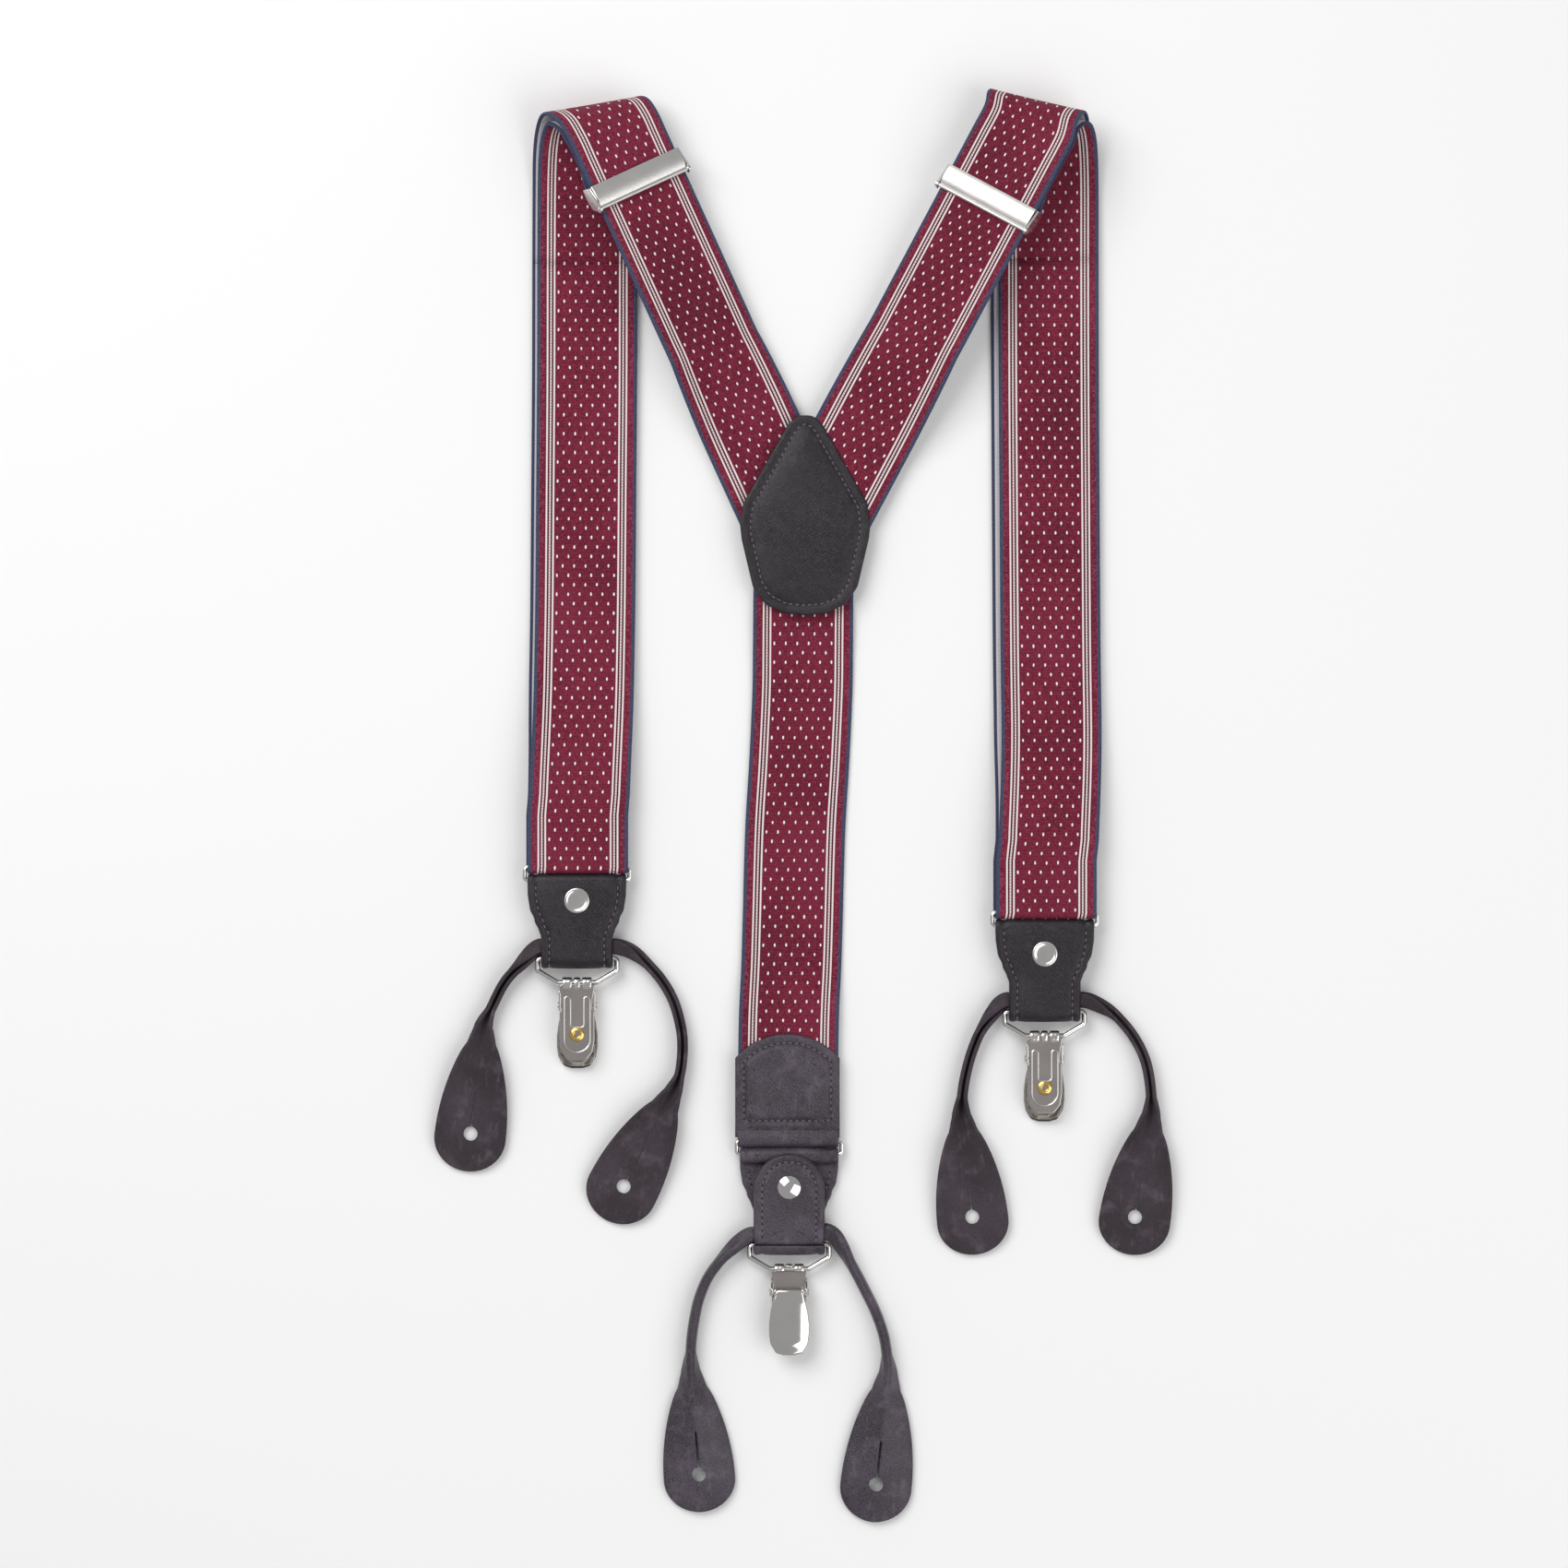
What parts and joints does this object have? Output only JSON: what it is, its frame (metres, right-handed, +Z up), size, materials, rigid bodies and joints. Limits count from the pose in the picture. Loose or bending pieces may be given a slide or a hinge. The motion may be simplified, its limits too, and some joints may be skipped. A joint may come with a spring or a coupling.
{
  "type": "convertible suspenders",
  "caption": "Y-back elastic suspenders with leather crosspatch, slide adjusters, snap-off metal clips and button-hole leather loops on all three ends.",
  "frame": {"origin": "centre of the box round the suspenders, on the surface that they lie on", "axes": "+X to the right across the back, +Y from the back clip to the shoulders, +Z up from the surface"},
  "size_m": [0.2578, 0.5002, 0.0271],
  "materials": {
    "webbing": "woven elastic with white pin dots and edge stripes",
    "leather": "smooth black leather, stitched edges",
    "suede": "split leather, flesh side out",
    "nickel": "polished nickel plate",
    "brass": "polished brass",
    "pad": "translucent soft plastic"
  },
  "bodies": {
    "root": {"left_webbing": "webbing", "right_webbing": "webbing", "left_tail": "webbing", "right_tail": "webbing", "centre_webbing": "webbing", "patch_top": "leather", "patch_back": "leather", "back_end_leather": "leather"},
    "left_adjuster": {"left_adjuster_frame": "nickel", "left_tail_hem": "webbing"},
    "left_adjuster_lever": {"left_adjuster_lever": "nickel"},
    "left_strap_end": {"left_webbing_end": "webbing"},
    "right_adjuster": {"right_adjuster_frame": "nickel", "right_tail_hem": "webbing"},
    "right_adjuster_lever": {"right_adjuster_lever": "nickel"},
    "right_strap_end": {"right_webbing_end": "webbing"},
    "left_ring": {"left_ring": "nickel"},
    "left_tab": {"left_tab": "leather", "left_snap_stud": "nickel"},
    "left_flap": {"left_flap": "leather", "left_snap_cap": "nickel"},
    "left_bail": {"left_bail": "nickel"},
    "left_clip": {"left_clip_base": "nickel", "left_clip_pad": "pad", "left_clip_eyelet": "brass", "left_clip_pin": "nickel"},
    "left_clip_lever": {"left_clip_lever": "nickel"},
    "left_button_loop": {"left_button_loop": "suede"},
    "right_ring": {"right_ring": "nickel"},
    "right_tab": {"right_tab": "leather", "right_snap_stud": "nickel"},
    "right_flap": {"right_flap": "leather", "right_snap_cap": "nickel"},
    "right_bail": {"right_bail": "nickel"},
    "right_clip": {"right_clip_base": "nickel", "right_clip_pad": "pad", "right_clip_eyelet": "brass", "right_clip_pin": "nickel"},
    "right_clip_lever": {"right_clip_lever": "nickel"},
    "right_button_loop": {"right_button_loop": "suede"},
    "back_ring": {"back_ring": "nickel"},
    "back_tab": {"back_tab": "leather", "back_snap_stud": "nickel"},
    "back_flap": {"back_flap": "leather", "back_snap_cap": "nickel"},
    "back_bail": {"back_bail": "nickel"},
    "back_clip": {"back_clip_base": "nickel", "back_clip_pad": "pad", "back_clip_eyelet": "brass", "back_clip_pin": "nickel"},
    "back_clip_lever": {"back_clip_lever": "nickel"},
    "back_button_loop": {"back_button_loop": "leather"}
  },
  "joints": [
    {"name": "left_adjuster_slide", "type": "slide", "parent": "root", "child": "left_adjuster", "axis": [0.4142, -0.9047, -0.0995], "range_m": [0, 0.05], "deforming": ["left_tail", "left_webbing"]},
    {"name": "left_adjuster_lever_hinge", "type": "hinge", "parent": "left_adjuster", "child": "left_adjuster_lever", "pos_m": [-0.0548, 0.21497, 0.0187], "axis": [0.8282, 0.42, -0.3712], "range_deg": [0, 75]},
    {"name": "left_length", "type": "slide", "parent": "root", "child": "left_strap_end", "axis": [0, 1, 0], "range_m": [0, 0.025], "deforming": ["left_tail", "left_webbing"]},
    {"name": "right_adjuster_slide", "type": "slide", "parent": "root", "child": "right_adjuster", "axis": [-0.4687, -0.8778, -0.0995], "range_m": [0, 0.05], "deforming": ["right_tail", "right_webbing"]},
    {"name": "right_adjuster_lever_hinge", "type": "hinge", "parent": "right_adjuster", "child": "right_adjuster_lever", "pos_m": [0.06235, 0.20845, 0.01791], "axis": [0.8249, -0.4752, 0.3061], "range_deg": [0, 75]},
    {"name": "right_length", "type": "slide", "parent": "root", "child": "right_strap_end", "axis": [0, 1, 0], "range_m": [0, 0.025], "deforming": ["right_tail", "right_webbing"]},
    {"name": "left_ring_swing", "type": "hinge", "parent": "left_strap_end", "child": "left_ring", "pos_m": [-0.0785, -0.0206, 0.0063], "axis": [1, 0, 0], "range_deg": [-70, 0]},
    {"name": "left_tab_swing", "type": "hinge", "parent": "left_ring", "child": "left_tab", "pos_m": [-0.0785, -0.0252, 0.0063], "axis": [-1, 0, 0], "range_deg": [0, 70]},
    {"name": "left_flap_open", "type": "hinge", "parent": "left_tab", "child": "left_flap", "pos_m": [-0.0785, -0.0513, 0.00235], "axis": [-1, 0, 0], "range_deg": [0, 95]},
    {"name": "left_bail_swing", "type": "hinge", "parent": "left_tab", "child": "left_bail", "pos_m": [-0.0785, -0.0525, 0.0049], "axis": [1, 0, 0], "range_deg": [-60, 0]},
    {"name": "left_clip_swing", "type": "hinge", "parent": "left_bail", "child": "left_clip", "pos_m": [-0.0785, -0.0609, 0.0049], "axis": [-1, 0, 0], "range_deg": [0, 45]},
    {"name": "left_clip_lever_hinge", "type": "hinge", "parent": "left_clip", "child": "left_clip_lever", "pos_m": [-0.0785, -0.0689, 0.0025], "axis": [1, 0, 0], "range_deg": [0, 80]},
    {"name": "left_loop_swing", "type": "hinge", "parent": "left_tab", "child": "left_button_loop", "pos_m": [-0.0785, -0.0485, 0.0049], "axis": [1, 0, 0], "range_deg": [-30, 0]},
    {"name": "right_ring_swing", "type": "hinge", "parent": "right_strap_end", "child": "right_ring", "pos_m": [0.0846, -0.0364, 0.0063], "axis": [1, 0, 0], "range_deg": [-70, 0]},
    {"name": "right_tab_swing", "type": "hinge", "parent": "right_ring", "child": "right_tab", "pos_m": [0.0846, -0.041, 0.0063], "axis": [-1, 0, 0], "range_deg": [0, 70]},
    {"name": "right_flap_open", "type": "hinge", "parent": "right_tab", "child": "right_flap", "pos_m": [0.0846, -0.0699, 0.00235], "axis": [-1, 0, 0], "range_deg": [0, 95]},
    {"name": "right_bail_swing", "type": "hinge", "parent": "right_tab", "child": "right_bail", "pos_m": [0.0846, -0.0711, 0.0049], "axis": [1, 0, 0], "range_deg": [-60, 0]},
    {"name": "right_clip_swing", "type": "hinge", "parent": "right_bail", "child": "right_clip", "pos_m": [0.0846, -0.0795, 0.0049], "axis": [-1, 0, 0], "range_deg": [0, 45]},
    {"name": "right_clip_lever_hinge", "type": "hinge", "parent": "right_clip", "child": "right_clip_lever", "pos_m": [0.0846, -0.0875, 0.0025], "axis": [1, 0, 0], "range_deg": [0, 80]},
    {"name": "right_loop_swing", "type": "hinge", "parent": "right_tab", "child": "right_button_loop", "pos_m": [0.0846, -0.0671, 0.0049], "axis": [1, 0, 0], "range_deg": [-30, 0]},
    {"name": "back_ring_swing", "type": "hinge", "parent": "root", "child": "back_ring", "pos_m": [-0.0045, -0.1163, 0.0029], "axis": [1, 0, 0], "range_deg": [-70, 0]},
    {"name": "back_tab_swing", "type": "hinge", "parent": "back_ring", "child": "back_tab", "pos_m": [-0.0045, -0.1209, 0.0029], "axis": [-1, 0, 0], "range_deg": [0, 20]},
    {"name": "back_flap_open", "type": "hinge", "parent": "back_tab", "child": "back_flap", "pos_m": [-0.0045, -0.1513, 0.00685], "axis": [1, 0, 0], "range_deg": [0, 95]},
    {"name": "back_bail_swing", "type": "hinge", "parent": "back_tab", "child": "back_bail", "pos_m": [-0.0045, -0.1525, 0.0043], "axis": [1, 0, 0], "range_deg": [-60, 0]},
    {"name": "back_clip_swing", "type": "hinge", "parent": "back_bail", "child": "back_clip", "pos_m": [-0.0045, -0.1609, 0.0043], "axis": [1, 0, 0], "range_deg": [-45, 0]},
    {"name": "back_clip_lever_hinge", "type": "hinge", "parent": "back_clip", "child": "back_clip_lever", "pos_m": [-0.0045, -0.1689, 0.0067], "axis": [-1, 0, 0], "range_deg": [0, 80]},
    {"name": "back_loop_swing", "type": "hinge", "parent": "back_tab", "child": "back_button_loop", "pos_m": [-0.0045, -0.1485, 0.0043], "axis": [1, 0, 0], "range_deg": [-30, 0]}
  ],
  "couplings": [
    {"joint": "left_length", "follows": "left_adjuster_slide", "ratio": 0.5},
    {"joint": "right_length", "follows": "right_adjuster_slide", "ratio": 0.5}
  ]
}
